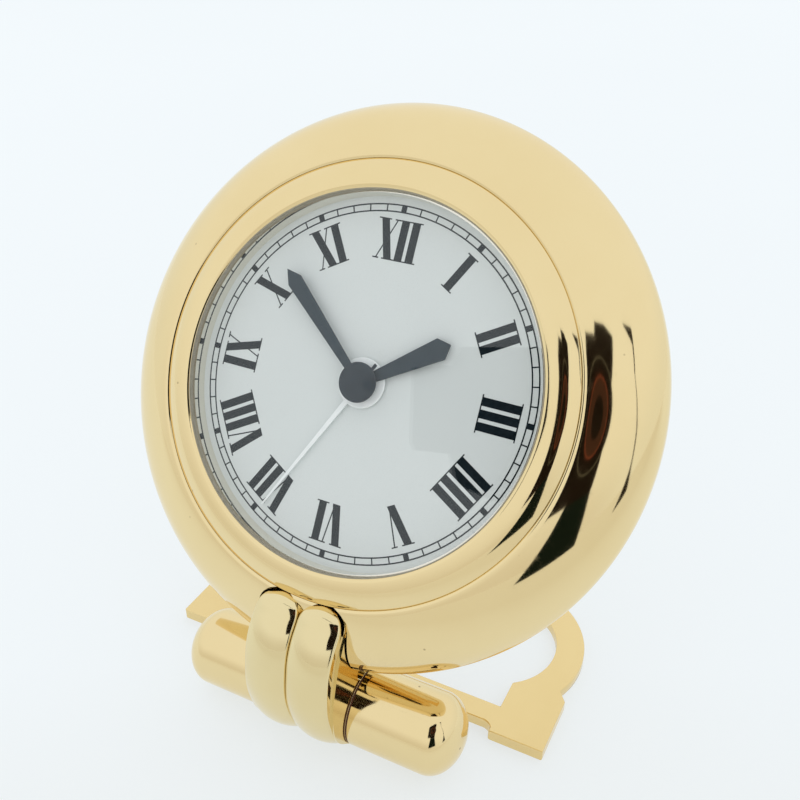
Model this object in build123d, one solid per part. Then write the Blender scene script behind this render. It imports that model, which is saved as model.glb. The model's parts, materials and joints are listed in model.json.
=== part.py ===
from build123d import *
import os
from math import asin, atan2, cos, degrees, radians, sin, sqrt

# Travel alarm clock: a round plated case on a folding stand.
# Millimetres. +Z is up and the dial faces -Y. The origin is on the table, under the middle
# of the stand's cross bar.
# The clock itself is modelled in the dial frame and then leaned back on its hinge. In the
# dial frame the origin is the dial's centre, +X points to 3, +Z points to 12 and +Y points
# into the clock, so a "depth" below is a Y value there: negative is in front of the dial.

# ---------------------------------------------------------------- driving dimensions
LEAN = 31.4                 # how far the open clock leans back from upright, degrees
AXIS_BACK = 10.15           # hinge axis behind the dial plane
AXIS_BELOW = 39.3           # hinge axis below the dial centre
AXIS_Y, AXIS_Z = -8.9, 5.4  # hinge axis on the open stand

CASE_BORE = 24.3            # inner wall of the case, around the movement
BACK_DEPTH = 13.0           # outer face of the case back
BACK_INNER = 11.5
BACK_R = 26.9
GROOVE_R = 25.83            # groove between the bezel ring and the case
BEZEL_R, BEZEL_OPENING = 25.75, 22.48
SEAT_R = 22.1               # inner wall of the bezel, around gasket and crystal
CRYSTAL_R, CRYSTAL_FRONT, CRYSTAL_BACK = 21.95, -2.75, -2.05
DIAL_R, DIAL_T = 21.95, 0.45
HOLDER_INNER, HOLDER_BACK = 21.6, 10.8

BATON_R = 5.1               # hinge barrels and centre knuckle
KNUCKLE_HALF = 5.85
WASHER_T = 0.25
BARREL_DOME_START, BARREL_TIP = 15.6, 19.4
PIN_R, PIN_HALF = 1.2, 14.0
RUN = 0.05                  # radial clearance of a running fit

GADROON_R = 2.83            # each of the two gadroons is centred this far from the middle
ROD_R = 2.81
NECK_HALF = 5.0
NOTCH_HALF = 6.0
NOTCH_TOP = 25.4            # the slot for the gadroons reaches just past the groove
NOTCH_FLOOR = 8.5           # depth of the seat the bail is screwed to
NECK_BACK = 5.38            # back of the neck below that seat

PLATE_T = 1.6               # stand plate
FOOT_OUT, FOOT_IN = 27.45, 20.2
FOOT_FRONT, FOOT_BACK = -2.85, 5.9
BAR_HALF = 1.5
LOOP_X, LOOP_Y = 15.4, 12.6
LOOP_OUT_R, LOOP_IN_R = 12.05, 8.2
ARM_IN, ARM_OUT = 8.0, 13.0

MINUTE_AT, HOUR_AT, ALARM_AT = 311.2, 55.9, 208.0   # clockwise from 12, degrees

# ---------------------------------------------------------------- movement layout
MAIN_FRONT, MAIN_BACK = 2.4, 3.2
PLATE_FRONT, PLATE_BACK = 6.0, 6.8
PLATE_R = 21.5
BOARD_FRONT, BOARD_BACK = 7.4, 8.0
CELL_AT, CELL_R, CELL_FRONT, CELL_BACK = (0, -17.0), 5.8, 5.95, 11.3
TRAY_R = 6.3
HATCH_R = 7.2
HATCH_TAB_AT, HATCH_GAP_AT = 20, -20   # closed and open directions of its two tabs
SETTING_X = 12.0            # both setting stems sit level with the dial centre
KNOB_R = 3.4
SWITCH_TRAVEL = 2.4

MOTION_MODULE, HOUR_MODULE, ALARM_MODULE, TRAIN_MODULE = 0.25, 0.24, 0.25, 0.2
CANNON_TEETH, MOTION_TEETH = 12, 36
MOTION_PINION_TEETH, HOUR_TEETH = 10, 40
ALARM_TEETH, ALARM_PINION_TEETH = 72, 24
PINION_TEETH, DRIVE_TEETH, SECONDS_TEETH, THIRD_TEETH, CENTRE_TEETH = 8, 40, 48, 60, 64
ALARM_LEVEL, HOUR_LEVEL, MOTION_LEVEL = (0.6, 0.95), (1.1, 1.45), (1.7, 2.05)
LEVEL_1, LEVEL_2, LEVEL_3, LEVEL_4 = (3.4, 3.7), (4.05, 4.35), (4.7, 5.0), (5.35, 5.65)


def polar(distance, angle, start=(0.0, 0.0)):
    """The point at a distance and an angle, anticlockwise from +X, from a start point."""
    return (start[0] + distance * cos(radians(angle)), start[1] + distance * sin(radians(angle)))


def centres(module, wheel, pinion):
    """Centre distance of a wheel and the pinion in mesh with it."""
    return module * (wheel + pinion) / 2


MOTION_AT = (centres(MOTION_MODULE, CANNON_TEETH, MOTION_TEETH), 0.0)
TIME_AT = (SETTING_X, 0.0)
ALARM_SET_AT = (-SETTING_X, 0.0)
THIRD_DIR, SECONDS_DIR, DRIVE_DIR, ROTOR_DIR = 100.0, 150.0, 75.0, -10.0
THIRD_AT = polar(centres(TRAIN_MODULE, CENTRE_TEETH, PINION_TEETH), THIRD_DIR)
SECONDS_AT = polar(centres(TRAIN_MODULE, THIRD_TEETH, PINION_TEETH), SECONDS_DIR, THIRD_AT)
DRIVE_AT = polar(centres(TRAIN_MODULE, SECONDS_TEETH, PINION_TEETH), DRIVE_DIR, SECONDS_AT)
ROTOR_AT = polar(centres(TRAIN_MODULE, DRIVE_TEETH, PINION_TEETH), ROTOR_DIR, DRIVE_AT)
PILLARS = [polar(19.9, a) for a in (28, 152, 222, 318)]
BACK_SCREWS = [polar(25.6, a) for a in (45, 135, 225, 315)]
BAIL_SCREWS = [(x, -28.6) for x in (-3.0, 3.0)]

lean_back = Pos(0, AXIS_Y, AXIS_Z) * Rot(-LEAN, 0, 0) * Pos(0, -AXIS_BACK, AXIS_BELOW)
nodes = {}


def keep(name, *solids):
    """Store one node of the stand, already in the table frame."""
    nodes[name] = list(solids)


def keep_in_case(name, *solids):
    """Store one node of the clock, turned from the dial frame to the leaned-back pose."""
    nodes[name] = [lean_back * solid for solid in solids]


# ---------------------------------------------------------------- helpers, dial frame
def facing(depth):
    """The plane parallel to the dial at a depth, seen from the front."""
    return Plane(origin=(0, depth, 0), x_dir=(1, 0, 0), z_dir=(0, -1, 0))


def slab(outline, front, back):
    """An outline drawn on the dial plane, filled between two depths."""
    return extrude(facing(back) * outline, back - front)


def disc(radius, front, back, at=(0, 0)):
    """A round disc between two depths."""
    return slab(Pos(*at) * Circle(radius), front, back)


def ring(outer, inner, front, back, at=(0, 0)):
    """A flat ring between two depths."""
    return slab(Pos(*at) * (Circle(outer) - Circle(inner)), front, back)


def turned(*edges):
    """A body turned about the dial axis from a closed profile of radius and depth."""
    return revolve(make_face(Wire(list(edges))), Axis.Y)


def line(start, end):
    return Line(start, end).edge()


def arc(start, through, end):
    return ThreePointArc(start, through, end).edge()


def tilt_arc(start, radius, tilt_from, tilt_to):
    """A round profile edge that leaves start facing tilt_from degrees off the dial normal,
    and ends facing tilt_to degrees off it. Returns the edge and its end."""
    def at(tilt):
        return (
            start[0] + radius * (sin(radians(tilt)) - sin(radians(tilt_from))),
            start[1] - radius * (cos(radians(tilt)) - cos(radians(tilt_from))),
        )
    return arc(start, at((tilt_from + tilt_to) / 2), at(tilt_to)), at(tilt_to)


def gear(teeth, module, level, at=(0, 0), tooth_at=0.0, bore=0.0):
    """A flat gear with short trapezoid teeth; one tooth points along tooth_at."""
    pitch_r = module * teeth / 2
    tip_r, root_r = pitch_r + 0.75 * module, pitch_r - 1.05 * module
    half = 90.0 / teeth
    points = []
    for tooth in range(teeth):
        middle = tooth_at + 360.0 * tooth / teeth
        corners = ((root_r, -1.05), (tip_r, -0.35), (tip_r, 0.35), (root_r, 1.05))
        points += [polar(r, middle + side * half) for r, side in corners]
    outline = make_face(Polyline(*points, close=True))
    if bore:
        outline -= Circle(bore)
    return slab(Pos(*at) * outline, *level)


def direction(start, end):
    """The angle of the line from one point to another."""
    return degrees(atan2(end[1] - start[1], end[0] - start[0]))


# ---------------------------------------------------------------- case
def notch_outline(radius, half, drop):
    """The outline of the slot that takes the two gadroons: two round tops side by side."""
    top_y = -NOTCH_TOP - radius
    outline = Rectangle(2 * half, drop, align=(Align.CENTER, Align.MAX))
    outline = Pos(0, top_y) * outline
    for side in (-1, 1):
        outline += Pos(side * (half - radius), top_y) * Circle(radius)
    return outline


def make_case_ring():
    """The turned outer case: a broad swelling front, a tight rim and a rounded back."""
    front_start = (26.1, -1.95)
    front, shoulder_at = tilt_arc(front_start, 12.0, 9, 33)
    shoulder, rim_at = tilt_arc(shoulder_at, 8.25, 33, 65)
    rim, widest_at = tilt_arc(rim_at, 2.5, 65, 90)
    flank, flank_at = tilt_arc(widest_at, 8.6, 90, 157)
    profile = turned(
        arc((GROOVE_R, -1.45), (25.93, -1.8), front_start),
        front, shoulder, rim, flank,
        line(flank_at, (BACK_R + 0.9, BACK_DEPTH)),
        line((BACK_R + 0.9, BACK_DEPTH), (BACK_R + 0.08, BACK_DEPTH)),
        line((BACK_R + 0.08, BACK_DEPTH), (BACK_R + 0.08, BACK_INNER)),
        line((BACK_R + 0.08, BACK_INNER), (CASE_BORE, BACK_INNER)),
        line((CASE_BORE, BACK_INNER), (CASE_BORE, 0.5)),
        line((CASE_BORE, 0.5), (GROOVE_R, 0.5)),
        line((GROOVE_R, 0.5), (GROOVE_R, -1.45)),
    )
    notch = slab(notch_outline(NOTCH_HALF / 2 + 0.08, NOTCH_HALF, 20), -6, NOTCH_FLOOR)
    case = profile - notch
    for spot in BAIL_SCREWS:
        case -= disc(0.9, NOTCH_FLOOR - 1, BACK_DEPTH + 1, spot)
        case -= disc(1.65, 10.6, BACK_DEPTH + 3, spot)
    for spot in BACK_SCREWS:
        case -= disc(0.7, BACK_INNER - 3.0, BACK_INNER + 1, spot)
    return case


def make_bezel_ring():
    """The ring around the crystal: a narrow lip, a flat cone and a rounded shoulder."""
    lip, crown_at = (BEZEL_OPENING, -2.93), (23.65, -2.766)
    crown, shoulder_at = tilt_arc(crown_at, 3.2, 8, 26)
    shoulder, rim_at = tilt_arc(shoulder_at, 6.35, 26, 38)
    return turned(
        line(lip, crown_at), crown, shoulder,
        line(rim_at, (BEZEL_R, -1.7)),
        line(lip, (SEAT_R, -2.72)),
        line((SEAT_R, -2.72), (SEAT_R, DIAL_T)),
        line((SEAT_R, DIAL_T), (BEZEL_R, DIAL_T)),
        line((BEZEL_R, DIAL_T), (BEZEL_R, -1.7)),
    )


def make_case_back():
    """The screwed back cover, with openings for stems, alarm switch and battery hatch."""
    cover = turned(
        line((0, BACK_INNER), (BACK_R, BACK_INNER)),
        line((BACK_R, BACK_INNER), (BACK_R, BACK_DEPTH - 0.3)),
        line((BACK_R, BACK_DEPTH - 0.3), (BACK_R - 0.3, BACK_DEPTH)),
        line((BACK_R - 0.3, BACK_DEPTH), (0, BACK_DEPTH)),
        line((0, BACK_DEPTH), (0, BACK_INNER)),
    )
    for spot in (TIME_AT, ALARM_SET_AT):
        cover -= disc(0.8 + RUN, 11, 14, spot)
        cover -= disc(KNOB_R + 0.5, BACK_DEPTH - 0.5, 14, spot)
    for spot in BACK_SCREWS:
        cover -= disc(0.75, 11, 14, spot)
        cover -= disc(1.3, BACK_DEPTH - 0.6, 14, spot)
    cover -= slab(Pos(SWITCH_TRAVEL / 2, 0) * SlotOverall(9.6, 3.2), 11, 14)
    cover -= disc(HATCH_R + RUN, 11, 14, CELL_AT)
    for turn in (HATCH_GAP_AT, HATCH_GAP_AT + 180):
        cover -= hatch_tab(turn, 11, 14, 0.15)
    return cover


def hatch_tab(turn, front, back, spare=0.0):
    """One bayonet tab of the battery hatch, or the gap it passes through."""
    tab = Pos(HATCH_R, 0) * Rectangle(2.0 + spare, 3.6 + 4 * spare)
    tab &= Circle(HATCH_R + 0.9 + spare)
    return slab(Pos(*CELL_AT) * Rot(0, 0, turn) * tab, front, back)


def make_battery_hatch():
    """A round cover turned with a coin, held by two bayonet tabs."""
    hatch = disc(HATCH_R, BACK_INNER, BACK_DEPTH + 0.05, CELL_AT)
    hatch += ring(HATCH_R, 6.6, BACK_INNER - 0.55, BACK_INNER, CELL_AT)
    for turn in (HATCH_TAB_AT, HATCH_TAB_AT + 180):
        hatch += hatch_tab(turn, BACK_INNER - 0.55, BACK_INNER - 0.1)
    coin_slot = Pos(*CELL_AT) * SlotOverall(9.0, 1.5)
    return hatch - slab(coin_slot, BACK_DEPTH - 0.6, BACK_DEPTH + 1)


def screw(at, head_r, head_front, head_back, shank_r, tip):
    """A slotted screw seen from the back of the clock."""
    body = disc(head_r, head_front, head_back, at) + disc(shank_r, tip, head_front, at)
    slot = Pos(*at) * Rectangle(2 * head_r + 0.2, 0.28)
    return body - slab(slot, head_back - 0.25, head_back + 0.2)


# ---------------------------------------------------------------- bail
# Side view as depth and height: the centre line of each gadroon rod, and the valley between.
ROD_LINE = [
    (-0.5, -28.5), (-0.88, -31.0), (-0.35, -33.6), (1.56, -37.4), (5.16, -40.65), (8.9, -41.75),
    (11.9, -40.7)]
VALLEY = [(-1.1, -28.5), (-0.8, -32.8), (0.98, -38.6), (4.1, -42.5), (8.8, -44.2)]


def rod(side):
    """One gadroon: a round rod that follows its centre line, with a domed top."""
    side_view = Plane(origin=(side * GADROON_R, 0, 0), x_dir=(0, 1, 0), z_dir=(1, 0, 0))
    path = side_view * Spline(*ROD_LINE)
    start = path @ 0
    body = sweep(Plane(origin=start, z_dir=path % 0) * Circle(ROD_R), path=path)
    return body + Pos(start) * Sphere(ROD_R)


def make_bail():
    """The double gadroon with its neck and the centre knuckle of the hinge, one casting."""
    seat = NOTCH_FLOOR - 0.02
    top = VALLEY[0][1]
    outline = Wire([
        Spline(*VALLEY).edge(),
        line(VALLEY[-1], (AXIS_BACK, -AXIS_BELOW)),
        line((AXIS_BACK, -AXIS_BELOW), (7.2, -35.3)),
        arc((7.2, -35.3), (5.85, -35.1), (NECK_BACK, -34.2)),
        line((NECK_BACK, -34.2), (NECK_BACK, -32.4)),
        line((NECK_BACK, -32.4), (seat, -31.6)),
        line((seat, -31.6), (seat, top)),
        line((seat, top), VALLEY[0]),
    ])
    side_view = Plane(origin=(-NECK_HALF, 0, 0), x_dir=(0, 1, 0), z_dir=(1, 0, 0))
    bail = extrude(side_view * make_face(outline), 2 * NECK_HALF)
    for side in (-1, 1):
        bail += disc(ROD_R, ROD_LINE[0][0], NECK_BACK, (side * GADROON_R, ROD_LINE[0][1]))
        bail += rod(side)
    knuckle_at = Pos(0, AXIS_BACK, -AXIS_BELOW) * Rot(0, 90, 0)
    bail += knuckle_at * Cylinder(BATON_R, 2 * KNUCKLE_HALF)
    bail -= knuckle_at * Cylinder(PIN_R + RUN, 40)
    for spot in BAIL_SCREWS:
        bail -= disc(0.8, 2.2, NOTCH_FLOOR + 1, spot)
    return bail


# ---------------------------------------------------------------- dial, hands and crystal
def hand(tip, shoulder, shoulder_half, neck_half, boss_r, bore, angle, level):
    """A tapering hand: narrow at the boss, widest at the shoulder, then a short point."""
    blade = make_face(Polyline(
        (-neck_half, 0), (-shoulder_half, shoulder), (0, tip), (shoulder_half, shoulder),
        (neck_half, 0), close=True,
    ))
    outline = Rot(0, 0, -angle) * (blade + Circle(boss_r) - Circle(bore))
    return slab(outline, *level)


def make_alarm_hand():
    """A small white disc with one long thin pointer and a slot opposite."""
    pointer = make_face(Polyline((-0.32, 0), (-0.1, 19.3), (0.1, 19.3), (0.32, 0), close=True))
    outline = pointer + Circle(2.95) - Circle(1.25)
    outline -= Pos(0, -2.35) * Rectangle(0.45, 0.9)
    return slab(Rot(0, 0, -ALARM_AT) * outline, -0.5, -0.3)


def make_centre_cap():
    """The domed cap over the hands."""
    rim_r, front, rim, back = 2.35, -1.98, -1.6, -1.45
    dome_r = (rim_r ** 2 + (rim - front) ** 2) / (2 * (rim - front))
    dome, rim_at = tilt_arc((0, front), dome_r, 0, degrees(asin(rim_r / dome_r)))
    return turned(
        dome,
        line(rim_at, (rim_r, back)),
        line((rim_r, back), (0, back)),
        line((0, back), (0, front)),
    )


def make_minute_arbor():
    """The central arbor with its cannon pinion."""
    arbor = disc(0.42, -1.45, 5.9) + disc(0.75, -0.9, MOTION_LEVEL[1])
    pinion = gear(CANNON_TEETH, MOTION_MODULE, MOTION_LEVEL, tooth_at=0)
    return arbor + pinion


def make_hour_wheel():
    """The hour wheel and its pipe, running on the cannon pinion."""
    toward = 180 + direction(MOTION_AT, (0, 0))
    wheel = gear(HOUR_TEETH, HOUR_MODULE, HOUR_LEVEL, tooth_at=toward, bore=0.75 + RUN)
    return wheel + ring(1.05, 0.75 + RUN, -0.65, HOUR_LEVEL[1])


def make_alarm_wheel():
    """The alarm wheel and its pipe, running on the hour pipe."""
    wheel = gear(ALARM_TEETH, ALARM_MODULE, ALARM_LEVEL, tooth_at=180, bore=1.05 + RUN)
    return wheel + ring(1.4, 1.05 + RUN, -0.3, ALARM_LEVEL[1])


def make_motion_wheel():
    """The motion wheel and pinion that reduce the minute arbor's turn to the hour wheel's."""
    half_tooth = 180.0 / MOTION_TEETH
    wheel = gear(MOTION_TEETH, MOTION_MODULE, MOTION_LEVEL, MOTION_AT, 180 + half_tooth)
    half_pinion = 180.0 / MOTION_PINION_TEETH
    pinion = gear(MOTION_PINION_TEETH, HOUR_MODULE, (HOUR_LEVEL[0], MOTION_LEVEL[0]),
                  MOTION_AT, 180 + half_pinion)
    return wheel + pinion - disc(0.45 + RUN, 0, 3, MOTION_AT)


# ---------------------------------------------------------------- movement
def wheel_and_pinion(at, teeth, wheel_level, wheel_tooth, pinion_level, pinion_tooth):
    """One arbor of the going train, with pivots that run in both plates."""
    body = disc(0.55, MAIN_BACK + 0.05, PLATE_FRONT - 0.05, at)
    body += disc(0.25, MAIN_FRONT + 0.1, PLATE_BACK - 0.1, at)
    body += gear(teeth, TRAIN_MODULE, wheel_level, at, wheel_tooth)
    return body + gear(PINION_TEETH, TRAIN_MODULE, pinion_level, at, pinion_tooth)


def gap_at(teeth, angle):
    """The tooth direction that puts a gap, not a tooth, along an angle."""
    return angle + 180.0 / teeth


def make_rotor():
    """The rotor's arbor and pinion; the magnet is pressed on below the pinion."""
    body = disc(0.35, MAIN_BACK + 0.05, PLATE_FRONT - 0.05, ROTOR_AT)
    body += disc(0.25, MAIN_FRONT + 0.1, PLATE_BACK - 0.1, ROTOR_AT)
    toward = direction(ROTOR_AT, DRIVE_AT)
    return body + gear(PINION_TEETH, TRAIN_MODULE, LEVEL_4, ROTOR_AT, toward)


def make_plate(front, back):
    """A brass movement plate, cut away around the battery."""
    plate = disc(PLATE_R, front, back) - disc(TRAY_R + 0.1, front - 1, back + 1, CELL_AT)
    for at in (THIRD_AT, SECONDS_AT, DRIVE_AT, ROTOR_AT):
        plate -= disc(0.25 + RUN, front - 1, back + 1, at)
    plate -= disc(1.0, front - 1, back + 1, ALARM_SET_AT)
    return plate - disc(1.0, front - 1, back + 1, TIME_AT)


def make_main_plate():
    """The main plate with its pillars and the stud of the motion wheel."""
    plate = make_plate(MAIN_FRONT, MAIN_BACK) - disc(0.42 + RUN, 2, 4)
    plate += disc(0.45, 1.2, MAIN_FRONT, MOTION_AT)
    for at in PILLARS:
        plate += disc(1.3, MAIN_BACK, PLATE_FRONT, at)
        plate -= disc(0.5, 4.4, PLATE_BACK, at)
    return plate


def make_back_plate():
    """The back plate, screwed down on the pillars."""
    plate = make_plate(PLATE_FRONT, PLATE_BACK) - disc(0.42 + RUN, 5, 8)
    for at in PILLARS:
        plate -= disc(0.5, 5, 8, at)
    return plate


def make_holder():
    """The moulded ring that centres the movement in the case."""
    holder = ring(CASE_BORE - 0.1, HOLDER_INNER, DIAL_T, HOLDER_BACK)
    return holder - disc(TRAY_R + 0.1, 0, 12, CELL_AT)


def make_stator():
    """The soft-iron stator: a pole plate round the rotor and the core inside the coil."""
    left, right, low, high = -3.6, 12.4, 12.7, 16.9
    plate = Pos((left + right) / 2, (low + high) / 2) * Rectangle(right - left, high - low)
    plate -= Pos(*ROTOR_AT) * Circle(1.9)
    plate -= Pos(6.9, 15.6) * Rectangle(8.8, 4.2)
    core = Pos(6.9, 15.4) * Rectangle(9.4, 0.9)
    return slab(plate + core, 4.0, 4.6)


def make_coil():
    """The drive coil wound on the stator's core."""
    winding = Pos(6.9, 4.3, 15.4) * Rot(0, 90, 0) * Cylinder(1.05, 8.4)
    return winding - slab(Pos(6.9, 15.4) * Rectangle(12, 0.9), 4.0, 4.6)


def make_board():
    """The circuit board that covers the upper part of the movement."""
    board = disc(20.5, BOARD_FRONT, BOARD_BACK)
    board &= slab(Pos(0, 7.5) * Rectangle(50, 33), BOARD_FRONT, BOARD_BACK)
    board -= disc(TRAY_R + 0.4, 7, 9, CELL_AT)
    for at in (TIME_AT, ALARM_SET_AT):
        board -= disc(1.0, 7, 9, at)
    return board


def make_tray():
    """The moulded cup for the button cell."""
    cup = disc(TRAY_R, 5.2, HOLDER_BACK, CELL_AT) - disc(CELL_R + RUN, 5.8, 12, CELL_AT)
    clip_slot = Pos(0, CELL_AT[1] + CELL_R) * Rectangle(2.4, 2.0)
    return cup - slab(clip_slot, BOARD_BACK - 0.1, 12)


def make_cell():
    """The button cell: a can with a smaller cap facing the front."""
    return disc(CELL_R, CELL_FRONT + 0.6, CELL_BACK, CELL_AT) + disc(
        CELL_R - 1.0, CELL_FRONT, CELL_FRONT + 0.6, CELL_AT)


def make_stem(at, pinion):
    """A setting stem that runs from its pinion out through the case back."""
    return pinion + disc(0.8, pinion.bounding_box().min.Y + 0.05, 13.9, at)


def make_knob(at):
    """A knurled setting knob, pressed on its stem."""
    grip = Pos(*at) * Circle(KNOB_R)
    for notch in range(24):
        grip -= Pos(*polar(KNOB_R + 0.1, 15 * notch, at)) * Circle(0.22)
    return slab(grip, 12.7, 14.9) - disc(0.8, 12, 13.9, at)


def make_switch():
    """The alarm on-off slide: a ribbed thumb piece on a plate behind the cover."""
    button = slab(SlotOverall(6.4, 3.0), BACK_INNER - 0.05, 13.75)
    for rib in (-1.2, 0, 1.2):
        button -= slab(Pos(rib, 0) * Rectangle(0.4, 3.4), 13.55, 14)
    return button + slab(Rectangle(8.4, 4.6), 10.9, BACK_INNER - 0.05)


def make_contacts():
    """The cell's two contacts: a spring under its cap and a clip beside its can."""
    edge = CELL_AT[1] + CELL_R
    under = disc(3.0, 5.8, CELL_FRONT, CELL_AT)
    foot = slab(Pos(0, edge + 1.1) * Rectangle(2.0, 2.2), BOARD_BACK, BOARD_BACK + 0.2)
    clip = slab(Pos(0, edge + 0.1) * Rectangle(2.0, 0.2), BOARD_BACK, 10.4)
    return under, foot + clip


# ---------------------------------------------------------------- stand, table frame
def half_plate():
    """The right half of the stand plate: cross bar, foot and half of the loop."""
    loop_low = LOOP_Y - sqrt(LOOP_OUT_R ** 2 - (FOOT_OUT - 1.0 - LOOP_X) ** 2)
    loop_back = LOOP_Y + LOOP_OUT_R
    inner_back = LOOP_Y + LOOP_IN_R
    leg_back = LOOP_Y - sqrt(LOOP_IN_R ** 2 - (FOOT_IN - LOOP_X) ** 2)
    return make_face(Wire([
        line((0, -BAR_HALF), (FOOT_IN - 1.6, -BAR_HALF)),
        arc((FOOT_IN - 1.6, -BAR_HALF), (FOOT_IN - 0.5, -BAR_HALF - 0.2), (FOOT_IN, -BAR_HALF - 0.65)),
        line((FOOT_IN, -BAR_HALF - 0.65), (FOOT_IN, FOOT_FRONT)),
        line((FOOT_IN, FOOT_FRONT), (FOOT_OUT, FOOT_FRONT)),
        line((FOOT_OUT, FOOT_FRONT), (FOOT_OUT, FOOT_BACK)),
        line((FOOT_OUT, FOOT_BACK), (FOOT_OUT - 1.2, loop_low - 0.35)),
        line((FOOT_OUT - 1.2, loop_low - 0.35), (FOOT_OUT - 1.0, loop_low)),
        arc((FOOT_OUT - 1.0, loop_low), polar(LOOP_OUT_R, 45, (LOOP_X, LOOP_Y)), (LOOP_X, loop_back)),
        line((LOOP_X, loop_back), (0, loop_back)),
        line((0, loop_back), (0, inner_back)),
        line((0, inner_back), (LOOP_X, inner_back)),
        arc((LOOP_X, inner_back), (LOOP_X + LOOP_IN_R, LOOP_Y), (FOOT_IN, leg_back)),
        line((FOOT_IN, leg_back), (FOOT_IN, BAR_HALF)),
        line((FOOT_IN, BAR_HALF), (0, BAR_HALF)),
        line((0, BAR_HALF), (0, -BAR_HALF)),
    ]))


def make_stand_plate():
    """The flat stand: feet, cross bar, loop and the two arms under the hinge barrels."""
    right = half_plate()
    outline = right + mirror(right, Plane.YZ)
    plate = extrude(outline, PLATE_T)
    for side in (-1, 1):
        arm = Pos(side * (ARM_IN + ARM_OUT) / 2, AXIS_Y / 2, PLATE_T / 2)
        plate += arm * Box(ARM_OUT - ARM_IN, -AXIS_Y, PLATE_T)
    barrel_space = Pos(0, AXIS_Y, AXIS_Z) * Rot(0, 90, 0) * Cylinder(BATON_R, 60)
    return plate - barrel_space


def make_barrel(side):
    """One outer hinge barrel with a domed end, bored for the pin."""
    start = KNUCKLE_HALF + WASHER_T
    dome = BARREL_TIP - BARREL_DOME_START
    profile = make_face(Wire([
        line((start, 0), (start, BATON_R - 0.15)),
        line((start, BATON_R - 0.15), (start + 0.15, BATON_R)),
        line((start + 0.15, BATON_R), (BARREL_DOME_START, BATON_R)),
        EllipticalCenterArc((BARREL_DOME_START, 0), dome, BATON_R, start_angle=0, arc_size=90).edge(),
        line((BARREL_TIP, 0), (start, 0)),
    ]))
    barrel = revolve(profile, Axis.X)
    barrel -= Pos(start - 1, 0, 0) * Rot(0, 90, 0) * Cylinder(
        PIN_R, PIN_HALF - start + 1, align=(Align.CENTER, Align.CENTER, Align.MIN))
    if side < 0:
        barrel = mirror(barrel, Plane.YZ)
    return Pos(0, AXIS_Y, AXIS_Z) * barrel


def make_washer(side):
    """A thin friction washer between the centre knuckle and one barrel."""
    middle = side * (KNUCKLE_HALF + WASHER_T / 2)
    washer = Cylinder(BATON_R - 0.45, WASHER_T) - Cylinder(PIN_R + RUN, 1)
    return Pos(middle, AXIS_Y, AXIS_Z) * Rot(0, 90, 0) * washer


# ---------------------------------------------------------------- the assembly
def build_stand():
    keep("stand_plate", make_stand_plate())
    keep("left_barrel", make_barrel(-1))
    keep("right_barrel", make_barrel(1))
    keep("hinge_pin", Pos(0, AXIS_Y, AXIS_Z) * Rot(0, 90, 0) * Cylinder(PIN_R, 2 * PIN_HALF))
    keep("friction_washers", make_washer(-1), make_washer(1))


def build_case():
    keep_in_case("bail", make_bail())
    keep_in_case("bail_screws", *[screw(at, 1.55, 10.6, 11.4, 0.8, 2.4) for at in BAIL_SCREWS])
    keep_in_case("case_ring", make_case_ring())
    keep_in_case("bezel_ring", make_bezel_ring())
    keep_in_case("crystal_gasket", ring(SEAT_R, CRYSTAL_R, CRYSTAL_FRONT + 0.2, CRYSTAL_BACK))
    keep_in_case("crystal", disc(CRYSTAL_R, CRYSTAL_FRONT, CRYSTAL_BACK))
    keep_in_case("rehaut_ring", ring(SEAT_R, 21.75, CRYSTAL_BACK, 0))
    keep_in_case("case_back", make_case_back())
    keep_in_case("case_back_screws", *[
        screw(at, 1.25, BACK_DEPTH - 0.6, BACK_DEPTH, 0.7, BACK_INNER - 2.6) for at in BACK_SCREWS])
    keep_in_case("battery_hatch", make_battery_hatch())
    keep_in_case("alarm_switch", make_switch())


def build_dial_and_hands():
    dial = disc(DIAL_R, 0, DIAL_T) - disc(1.6, -1, 2)
    keep_in_case("dial_plate", dial)
    keep_in_case("hour_hand", hand(11.75, 10.5, 1.3, 0.5, 1.7, 1.05, HOUR_AT, (-0.85, -0.65)))
    keep_in_case("minute_hand", hand(16.65, 14.9, 0.98, 0.42, 1.5, 0.42, MINUTE_AT, (-1.3, -1.1)))
    keep_in_case("alarm_hand", make_alarm_hand())
    keep_in_case("centre_cap", make_centre_cap())


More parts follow.
